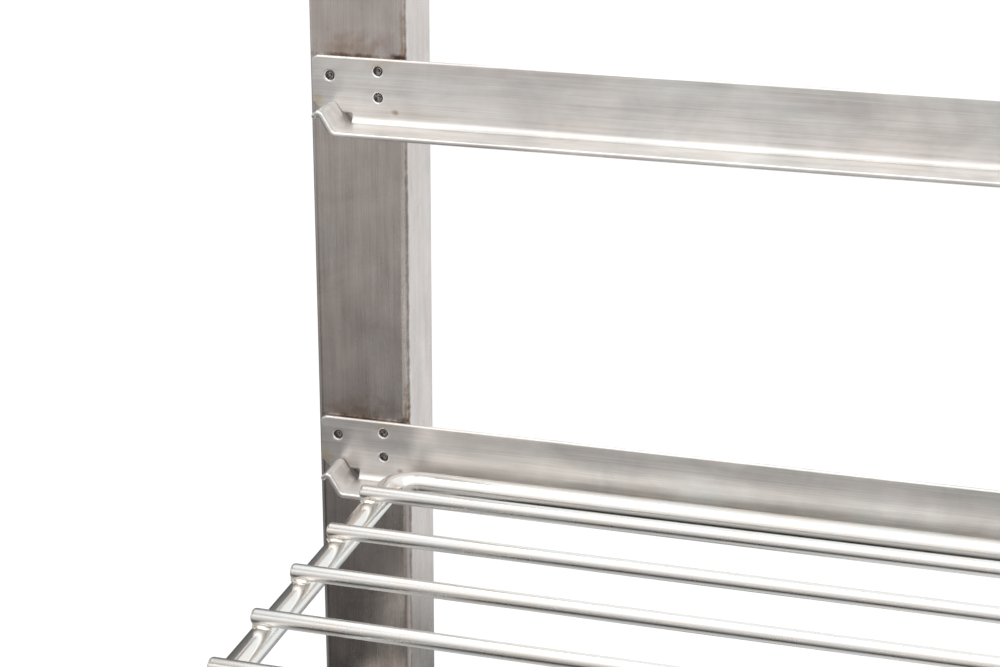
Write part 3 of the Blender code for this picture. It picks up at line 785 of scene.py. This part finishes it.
def make_keepers(sheet_material, rivet_material):
    """Clips whose sheet wraps a third of the way round the shelf's rear tube."""
    thickness = 0.002
    clearance = 0.0004
    wrap = TUBE_RADIUS + clearance + thickness / 2
    reach = wrap * math.tan(math.radians(60))
    end_angle = math.radians(120)
    for side_name in SIDES:
        node = f"hinge_keeper_{side_name}"
        low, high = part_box(node)
        width = high.x - low.x
        back = high.y - thickness / 2
        crown = TUBE_Z + wrap
        turn_y = REAR_TUBE_Y - reach
        last = (turn_y - reach * math.cos(end_angle), crown - reach * math.sin(end_angle))
        fold = Fold([(back, high.z), (back, crown), (turn_y, crown), last], (0.0025, wrap))
        outline = strip(width, fold.length, 0.003, 0.001)
        holes = [
            circle(spot.x - low.x, high.z - spot.z, KEEPER_HOLE)
            for spot in keeper_spots(side_name)
        ]
        piece = folded(f"{node}_skin", [outline] + holes, thickness, fold, side_plane(low.x),
                       steps=14)
        show(piece, "wall_frame", "brushed_steel", sheet_material, node)
        for number in (1, 2):
            make_headed_pin(f"keeper_rivet_{side_name}_{number}", "Y", rivet_material)


def make_headed_pin(node, axis, material):
    """A rivet with a domed head and a formed tail, along one axis of its box."""
    low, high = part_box(node)
    centre = (low + high) / 2
    index = "XYZ".index(axis)
    length = high[index] - low[index]
    radius = max(high.x - low.x, high.z - low.z if axis == "Y" else high.y - low.y) / 2
    head = 0.0015 if axis == "Z" else 0.0012
    shank = 0.0021 if axis == "Z" else 0.0019
    tail = radius if axis == "Z" else radius * 0.85
    dome = [(radius * math.sin(a), head * math.cos(a)) for a in
            (math.pi / 2 * i / 6 for i in range(7))]
    profile = dome + [(radius - 0.0001, 0.0), (shank, 0.0),
                      (shank, -(length - head * 2)), (tail, -(length - head * 2)),
                      (tail, -(length - head * 1.3)), (tail * 0.7, -(length - head)),
                      (0.0, -(length - head))]
    if axis == "Y":
        place = Matrix.Translation((centre.x, low.y + head, centre.z)) @ FACING_FRONT
    else:
        place = Matrix.Translation((centre.x, centre.y, high.z - head))
    piece = turned_piece(f"{node}_pin", profile, place, 28, 40)
    show(piece, "wall_frame", "fastener_steel", material, node)


# ---- shelf
def make_shelf(tube_material, rod_material):
    corners = [(-SIDE_TUBE_X, REAR_TUBE_Y, TUBE_Z), (SIDE_TUBE_X, REAR_TUBE_Y, TUBE_Z),
               (SIDE_TUBE_X, FRONT_TUBE_Y, TUBE_Z), (-SIDE_TUBE_X, FRONT_TUBE_Y, TUBE_Z)]
    path = rounded_path(corners, TUBE_BEND, 18, closed=True)
    tube = bent_tube("shelf_tube", path, TUBE_RADIUS, closed=True, sides=40)
    show(tube, "shelf", "polished_steel", tube_material, "shelf_frame")
    for name in ROD_NAMES:
        low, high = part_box(name)
        middle = (low + high) / 2
        piece = bar(f"{name}_wire", (low.x, middle.y, middle.z), (high.x, middle.y, middle.z),
                    (high.z - low.z) / 2, WIRE_END)
        show(piece, "shelf", "polished_steel", rod_material, name)
    low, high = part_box("shelf_centre_bar")
    middle = (low + high) / 2
    piece = bar("centre_bar_wire", (0, low.y, middle.z), (0, high.y, middle.z),
                (high.z - low.z) / 2, BAR_END)
    show(piece, "shelf", "polished_steel", rod_material, "shelf_centre_bar")


# ---- welds
ROD_NUGGET = (0.0040, 0.0046, 0.0017)
CROSSING_NUGGET = (0.0022, 0.0022, 0.0010)
BAR_NUGGET = (0.0031, 0.0011, 0.0031)
BRACE_NUGGETS = (0.0034, 0.0026, 0.0036), (0.0034, 0.0036, 0.0026)


def nugget(bm, centre, radii, seed, turn=None):
    """A small lumpy drop of weld metal."""
    rng = random.Random(seed)
    made = bmesh.ops.create_icosphere(bm, subdivisions=3, radius=1.0)
    waves = [(Vector((rng.uniform(-1, 1), rng.uniform(-1, 1), rng.uniform(-1, 1))).normalized(),
              rng.uniform(2.0, 4.5), rng.uniform(0, math.tau)) for _ in range(5)]
    for vert in made["verts"]:
        direction = vert.co.normalized()
        swell = 1 + 0.035 * sum(math.sin(direction.dot(axis) * rate + phase)
                                for axis, rate, phase in waves)
        point = Vector(component * radius for component, radius in zip(direction * swell, radii))
        vert.co = Vector(centre) + (turn @ point if turn is not None else point)


def bead(bm, start, end, radius, seed):
    """A run of overlapping ripples between two points, as one lumpy bar."""
    rng = random.Random(seed)
    start, end = Vector(start), Vector(end)
    length = (end - start).length
    place = along(start, end)
    steps = max(8, int(length / 0.00035))
    profile = [(0.0, length)]
    for i in range(steps + 1):
        share = 1 - i / steps
        round_off = math.sqrt(max(0.0, 1 - (2 * share - 1) ** 8))
        ripple = 1 + 0.10 * math.sin(share * length / 0.0014 * math.tau) + rng.uniform(-0.02, 0.02)
        profile.append((max(radius * round_off * ripple, radius * 0.15), length * share))
    profile.append((0.0, 0.0))
    lathe(bm, profile, place, 14)


def make_shelf_welds(material):
    bm = bmesh.new()
    contact = TUBE_Z + TUBE_RADIUS
    for number, name in enumerate(ROD_NAMES):
        low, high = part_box(name)
        y = (low.y + high.y) / 2
        for side in SIDES.values():
            centre = (side * (SIDE_TUBE_X + 0.0002), y, contact - 0.0006)
            nugget(bm, centre, ROD_NUGGET, 10 * number + side)
        nugget(bm, (0, y, low.z), CROSSING_NUGGET, 100 + number)
    low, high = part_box("shelf_centre_bar")
    z = (low.z + high.z) / 2
    for y in (low.y, high.y):
        nugget(bm, (0, y, z), BAR_NUGGET, int(1000 * abs(y)))
    show(new_piece("shelf_welds", bm), "shelf", "fastener_steel", material)


def make_frame_welds(material):
    """Beads down both sides of each lug's foot, and along the end brackets' front seams."""
    bm = bmesh.new()
    seed = 500
    for side_name in SIDES:
        for height_name in ("lower", "upper"):
            low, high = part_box(f"hinge_lug_{height_name}_{side_name}")
            for x in (low.x - 0.0002, high.x + 0.0002):
                seed += 1
                start = (x, UPRIGHT_FRONT - 0.0003, low.z + 0.003)
                end = (x, UPRIGHT_FRONT - 0.0003, high.z - 0.004)
                bead(bm, start, end, 0.0013, seed)
        for end_name, z in (("top", UPRIGHT_TOP + 0.00015), ("bottom", -0.00015)):
            low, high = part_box(f"end_bracket_{end_name}_{side_name}")
            seed += 1
            inset_x = 0.005
            bead(bm, (low.x + inset_x, UPRIGHT_FRONT + 0.0001, z),
                 (high.x - inset_x, UPRIGHT_FRONT + 0.0001, z), 0.0007, seed)
    show(new_piece("frame_welds", bm), "wall_frame", "fastener_steel", material)


# ---- supports
SPLAY = math.radians(12)
ARM_BEND = 0.018
KNEE_RISE = 0.025
LEVEL_BEFORE_TUBE = 0.034
LEVEL_PAST_TUBE = 0.014
BRACE_FOOT_RISE = 0.022
BRACE_SHARE = 0.72


def make_supports(steel, ring_steel, nylon, weld):
    """Each arm rises from its leg, slopes out and ends in a level run under the shelf's tube."""
    for side_name, side in SIDES.items():
        body = f"support_{side_name}"
        leg = joint_places[f"support_{side_name}_swing"]
        turn = Matrix.Rotation(-side * SPLAY, 4, "Z")
        place = Matrix.Translation((leg.x, leg.y, 0)) @ turn
        arm_low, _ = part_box(f"support_arm_{side_name}")
        lower_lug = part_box(f"hinge_lug_lower_{side_name}")[1].z - LUG_SHEET / 2
        upper_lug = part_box(f"hinge_lug_upper_{side_name}")[1].z - LUG_SHEET / 2
        sleeve_low, sleeve_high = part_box(f"support_sleeve_{side_name}")
        sleeve_z = (sleeve_low.z + sleeve_high.z) / 2
        front_run = (FRONT_TUBE_Y - leg.y) / math.cos(SPLAY)
        knee = upper_lug + KNEE_RISE
        level_y = front_run + LEVEL_BEFORE_TUBE
        knots = [(0, 0, arm_low.z), (0, 0, knee), (0, level_y, sleeve_z),
                 (0, front_run - LEVEL_PAST_TUBE, sleeve_z)]
        path = [place @ point for point in rounded_path(knots, ARM_BEND, 14)]
        arm = bent_tube(f"support_bar_{side_name}", path, ARM_RADIUS)
        show(arm, body, "polished_steel", steel, f"support_arm_{side_name}")

        brace_low = Vector((0, -ARM_RADIUS - 0.0018, lower_lug + BRACE_FOOT_RISE))
        joined_z = knee + (sleeve_z - knee) * BRACE_SHARE
        brace_high = Vector((0, level_y * BRACE_SHARE, joined_z - ARM_RADIUS - 0.00345))
        brace = bar(f"support_strut_{side_name}", place @ brace_low, place @ brace_high,
                    BRACE_RADIUS, BAR_END)
        show(brace, body, "polished_steel", steel, f"support_brace_{side_name}")

        bm = bmesh.new()
        tilt = (brace_high - brace_low).to_track_quat("Z", "Y")
        turned = turn.to_quaternion()
        foot, head = BRACE_NUGGETS
        nugget(bm, place @ (brace_low + Vector((0, 0.0005, 0.0005))), foot, 7 + side,
               turned @ tilt)
        nugget(bm, place @ (brace_high + Vector((0, 0, 0.0008))), head, 9 + side, turned)
        show(new_piece(f"support_welds_{side_name}", bm), body, "fastener_steel", weld)

        make_sleeve(side_name, body, place, front_run, sleeve_z, nylon)
        for ring_name in ("collar", "foot_ring"):
            node = f"support_{ring_name}_{side_name}"
            low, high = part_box(node)
            section = ring_section((high.x - low.x) / 2, high.z - low.z, LEG_BORE, 0.0007)
            piece = turned_piece(f"{node}_ring", section,
                                 Matrix.Translation((leg.x, leg.y, low.z)), closed=True)
            show(piece, body, "fastener_steel", ring_steel, node)


def ring_section(radius, height, bore, chamfer):
    """A ring's section with chamfered rims, from its inner top edge round."""
    return [
        (bore + chamfer * 0.5, height),
        (radius - chamfer, height),
        (radius - chamfer * 0.3, height - chamfer * 0.3),
        (radius, height - chamfer),
        (radius, chamfer),
        (radius - chamfer * 0.3, chamfer * 0.3),
        (radius - chamfer, 0),
        (bore + chamfer * 0.5, 0),
        (bore, chamfer * 0.5),
        (bore, height - chamfer * 0.5),
    ]


def make_sleeve(side_name, body, place, front_run, sleeve_z, nylon):
    """Nylon sleeve with three shallow grooves, so that it grips the shelf's tube."""
    length = 0.026
    radius = 0.007
    chamfer = 0.0009
    groove = 0.0004
    section = ring_section(radius, length, LEG_BORE, chamfer)
    grooved = []
    for point in section:
        grooved.append(point)
        if point == (radius, length - chamfer):
            for share in (0.7, 0.5, 0.3):
                centre = length * share
                grooved += [(radius, centre + 0.0008), (radius - groove, centre + 0.0003),
                            (radius - groove, centre - 0.0003), (radius, centre - 0.0008)]
    spot = Matrix.Translation((0, front_run + length / 2, sleeve_z))
    piece = turned_piece(f"support_grip_{side_name}", grooved, place @ spot @ FACING_FRONT,
                         sharp=30, closed=True)
    show(piece, body, "nylon", nylon, f"support_sleeve_{side_name}")


# ---- latch
def make_latch(sheet_material, ring_material):
    thickness = 0.0025
    low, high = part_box("stow_latch")
    level = high.z - thickness / 2
    width = high.y - low.y
    reach = high.x - thickness / 2
    fold = Fold([(low.x, level), (reach, level), (reach, low.z)], (0.003,))
    outline = strip(width, fold.length, 0.005, 0.004)
    pin_hole = circle(width / 2, -low.x, LATCH_HOLE)
    piece = folded("stow_latch_skin", [outline, pin_hole], thickness, fold,
                   lambda u, x, z: Vector((x, low.y + u, z)), grain="v")
    show(piece, "latch", "brushed_steel", sheet_material, "stow_latch")
    low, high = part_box("latch_spacer")
    middle = (low + high) / 2
    section = ring_section((high.x - low.x) / 2, high.z - low.z, LATCH_HOLE, 0.0005)
    spacer = turned_piece("latch_bush", section, Matrix.Translation((middle.x, middle.y, low.z)),
                          closed=True)
    show(spacer, "wall_frame", "fastener_steel", ring_material, "latch_spacer")
    make_headed_pin("latch_pin", "Z", ring_material)


# ---- studio
def rectangle(name, centre, width, height, rotation):
    bm = bmesh.new()
    bmesh.ops.create_grid(bm, x_segments=1, y_segments=1, size=0.5)
    mesh = bpy.data.meshes.new(name)
    bm.to_mesh(mesh)
    bm.free()
    made = bpy.data.objects.new(name, mesh)
    made.location = centre
    made.rotation_euler = rotation
    made.scale = (width, height, 1)
    bpy.context.scene.collection.objects.link(made)
    return made


def make_floor():
    floor = rectangle("floor", (0, 0, -1.5), 60, 60, (0, 0, 0))
    material = bpy.data.materials.new("pale_floor")
    material.use_nodes = True
    shader = material.node_tree.nodes["Principled BSDF"]
    shader.inputs["Base Color"].default_value = (0.93, 0.93, 0.93, 1)
    shader.inputs["Roughness"].default_value = 0.9
    shader.inputs["Specular IOR Level"].default_value = 0.1
    floor.data.materials.append(material)


def grey_ramp(tree, source, stops, tint=(1.0, 1.0, 1.0)):
    shades = [(place, [value * channel for channel in tint]) for place, value in stops]
    return color_ramp(tree, source, shades)


def tent_card(name, centre, width, height, rotation, rise, across=None, power=1.24,
              tint=(1.0, 1.0, 1.0)):
    """One side of the light tent, seen only in reflections: its glow by height and by width."""
    card = rectangle(name, centre, width, height, rotation)
    material = bpy.data.materials.new(name)
    material.use_nodes = True
    tree = material.node_tree
    tree.nodes.clear()
    light = tree.nodes.new("ShaderNodeEmission")
    light.inputs["Strength"].default_value = power
    output = tree.nodes.new("ShaderNodeOutputMaterial")
    tree.links.new(light.outputs["Emission"], output.inputs["Surface"])
    coordinates = tree.nodes.new("ShaderNodeTexCoord")
    split = tree.nodes.new("ShaderNodeSeparateXYZ")
    tree.links.new(coordinates.outputs["Generated"], split.inputs["Vector"])
    glow = grey_ramp(tree, split.outputs["Y"], rise, tint)
    if across is not None:
        mix = tree.nodes.new("ShaderNodeMix")
        mix.data_type = "RGBA"
        mix.blend_type = "MULTIPLY"
        dimming, width_stops, height_stops = across
        mask = tree.nodes.new("ShaderNodeMath")
        mask.operation = "MULTIPLY"
        tree.links.new(grey_ramp(tree, split.outputs["X"], width_stops), mask.inputs[0])
        tree.links.new(grey_ramp(tree, split.outputs["Y"], height_stops), mask.inputs[1])
        tree.links.new(mask.outputs["Value"], mix.inputs["Factor"])
        tree.links.new(glow, mix.inputs["A"])
        mix.inputs["B"].default_value = (dimming, dimming, dimming, 1)
        glow = mix.outputs["Result"]
    tree.links.new(glow, light.inputs["Color"])
    card.data.materials.append(material)
    card.visible_camera = False
    card.visible_shadow = False
    card.visible_diffuse = False


def make_tent():
    """A light tent, brightest overhead and darkest low on the left, with a near pale backdrop."""
    quarter = math.pi / 2
    front = [(0.0, 0.50), (0.13, 0.45), (0.30, 0.46), (0.46, 0.50), (0.55, 0.51), (0.67, 0.68),
             (0.83, 1.0), (1.0, 1.2)]
    low_left = (0.03, [(0.47, 1.0), (0.62, 0.0)],
                [(0.0, 1.0), (0.28, 1.0), (0.305, 0.86), (0.33, 0.60), (0.37, 0.45),
                 (0.43, 0.24), (0.49, 0.0)])
    tent_card("tent_front", (0.0, -1.3, 0.15), 6.0, 3.1, (quarter, 0, 0), front, low_left,
              tint=(1.03, 1.0, 0.985))
    tent_card("tent_back", (0.0, 1.6, 0.15), 6.0, 3.1, (quarter, 0, 0),
              [(0.0, 0.15), (0.24, 0.25), (0.33, 0.66), (0.55, 0.95), (0.7, 1.2), (1.0, 1.2)],
              (0.12, [(0.38, 1.0), (0.44, 0.0)], [(0.0, 1.0), (1.0, 1.0)]))
    tent_card("backdrop", (1.03, 0.12, 0.5), 2.97, 1.8, (quarter, 0, 0),
              [(0.0, 0.12), (0.08, 0.15), (0.16, 0.95), (0.6, 1.0), (1.0, 1.1)],
              (0.3, [(0.03, 0.0), (0.04, 1.0), (0.07, 1.0), (0.085, 0.0)],
               [(0.0, 1.0), (0.27, 1.0), (0.31, 0.0)]), 1.08, (0.975, 1.0, 1.01))
    tent_card("tent_left", (-3.0, 0.15, 0.15), 2.9, 3.1, (quarter, 0, quarter),
              [(0.0, 0.15), (0.3, 0.35), (0.5, 0.7), (1.0, 0.7)])
    tent_card("tent_right", (3.0, 0.15, 0.15), 2.9, 3.1, (quarter, 0, quarter),
              [(0.0, 0.35), (0.4, 0.55), (0.6, 0.75), (1.0, 1.0)],
              (0.1, [(0.42, 0.0), (0.5, 1.0), (0.7, 1.0), (0.78, 0.0)], [(0.0, 1.0), (1.0, 0.8)]),
              tint=(0.97, 1.0, 1.03))
    tent_card("tent_top", (0.0, 0.15, 1.7), 6.0, 2.9, (0, 0, 0),
              [(0.0, 1.0), (1.0, 1.0)],
              (0.1, [(0.26, 1.0), (0.32, 0.0)], [(0.0, 1.0), (1.0, 0.8)]), power=1.75)
    tent_card("tent_table", (0.0, 0.15, -1.4), 6.0, 2.9, (0, 0, 0),
              [(0.0, 0.50), (0.4, 0.68), (0.6, 0.80), (1.0, 0.55)],
              (0.4, [(0.30, 1.0), (0.46, 0.0)], [(0.0, 1.0), (0.8, 0.6), (1.0, 0.4)]))


def make_lights():
    world = bpy.data.worlds.new("studio")
    bpy.context.scene.world = world
    world.use_nodes = True
    background = world.node_tree.nodes["Background"]
    background.inputs["Color"].default_value = (1.0, 1.0, 1.0, 1)
    background.inputs["Strength"].default_value = 1.12
    data = bpy.data.lights.new("softbox", "AREA")
    data.shape = "RECTANGLE"
    data.size = 1.6
    data.size_y = 1.0
    data.energy = 14
    light = bpy.data.objects.new("softbox", data)
    light.location = (0.0, 0.35, 1.6)
    bpy.context.scene.collection.objects.link(light)


def make_camera():
    """Just right of the left upright, level with the rack's top, looking down and to the left."""
    data = bpy.data.cameras.new("camera")
    data.lens = 76.5
    data.sensor_width = 36.0
    data.clip_end = 100
    camera = bpy.data.objects.new("camera", data)
    camera.location = (-0.09794, -0.80618, 0.59984)
    yaw = math.radians(16.065)
    pitch = math.radians(19.393)
    roll = math.radians(0.214)
    level = Matrix.Rotation(yaw, 4, "Z") @ Matrix.Rotation(math.pi / 2 - pitch, 4, "X")
    camera.rotation_euler = (level @ Matrix.Rotation(roll, 4, "Z")).to_euler()
    bpy.context.scene.collection.objects.link(camera)
    bpy.context.scene.camera = camera


# ---- everything
make_camera()
make_floor()
make_tent()
make_lights()
bpy.context.scene.view_settings.view_transform = "Standard"

# Painted dark reflection: a thin dark line down the whole height of each upright's inner front
# fold.
UPRIGHT_STAINS_AND_SHADE = [StainAndShadePatch((0.3602, 0.0304, 0.3), (0.0007, 0.0014, 4.0), FOLD_DARK_REFLECTION, 0.9)]
RAIL_STAINS = []
for level in LEVELS:
    top = RAIL_BOX[level][1].z
    UPRIGHT_STAINS_AND_SHADE += [
        StainAndShadePatch((0.382, 0.031, top + 0.002), (0.014, 0.004, 0.009), BROWN, 0.6),
        StainAndShadePatch((0.368, 0.031, top + 0.005), (0.009, 0.004, 0.006), PURPLE, 0.5),
        StainAndShadePatch((0.3612, 0.031, top + 0.004), (0.0014, 0.003, 0.014), BROWN, 0.8),
        # Painted shadow: a thin dark line along the gap at each rail's top edge, darker still at
        # the inner corner.
        StainAndShadePatch((0.380, 0.031, top), (0.030, 0.004, 0.0014), GAP_SHADOW, 0.8),
        StainAndShadePatch((0.3635, 0.031, top + 0.0004), (0.0045, 0.003, 0.0018), GAP_SHADOW, 0.9),
    ]
    RAIL_STAINS += [
        StainAndShadePatch((0.3632, 0.034, top - 0.021), (0.0018, 0.002, 0.0014), BROWN, 0.9),
        StainAndShadePatch((0.3955, 0.034, top - 0.0175), (0.003, 0.002, 0.004), STRAW, 0.9),
        StainAndShadePatch((0.369, 0.034, top - 0.002), (0.008, 0.003, 0.003), STRAW, 0.35),
    ]
UPRIGHT_STEEL = brushed_steel("upright_steel", "Z", (0.44, 0.40, 0.38), (0.67, 0.615, 0.59),
                              UPRIGHT_STAINS_AND_SHADE, 0.27, 0.5)
RAIL_STEEL = brushed_steel("rail_steel", "X", (0.62, 0.61, 0.60), (0.92, 0.905, 0.89),
                           RAIL_STAINS, 0.33, 0.7)
BRACKET_STEEL = brushed_steel("bracket_steel", "Z", (0.56, 0.54, 0.52), (0.70, 0.68, 0.66))
TUBE_STEEL = polished_steel("tube_steel", (0.80, 0.79, 0.77), 0.19)
ROD_STEEL = polished_steel("rod_steel", (0.80, 0.79, 0.77), 0.27)
RIVET_STEEL = fastener_steel()
WELD_STEEL = weld_steel()
NYLON = grey_nylon()

make_uprights(UPRIGHT_STEEL)
make_rails(RAIL_STEEL)
make_rail_rivets(RIVET_STEEL)
make_end_brackets(BRACKET_STEEL)
make_lugs(BRACKET_STEEL)
make_keepers(RAIL_STEEL, RIVET_STEEL)
make_shelf(TUBE_STEEL, ROD_STEEL)
make_shelf_welds(WELD_STEEL)
make_frame_welds(WELD_STEEL)
make_supports(TUBE_STEEL, RIVET_STEEL, NYLON, WELD_STEEL)
make_latch(RAIL_STEEL, RIVET_STEEL)
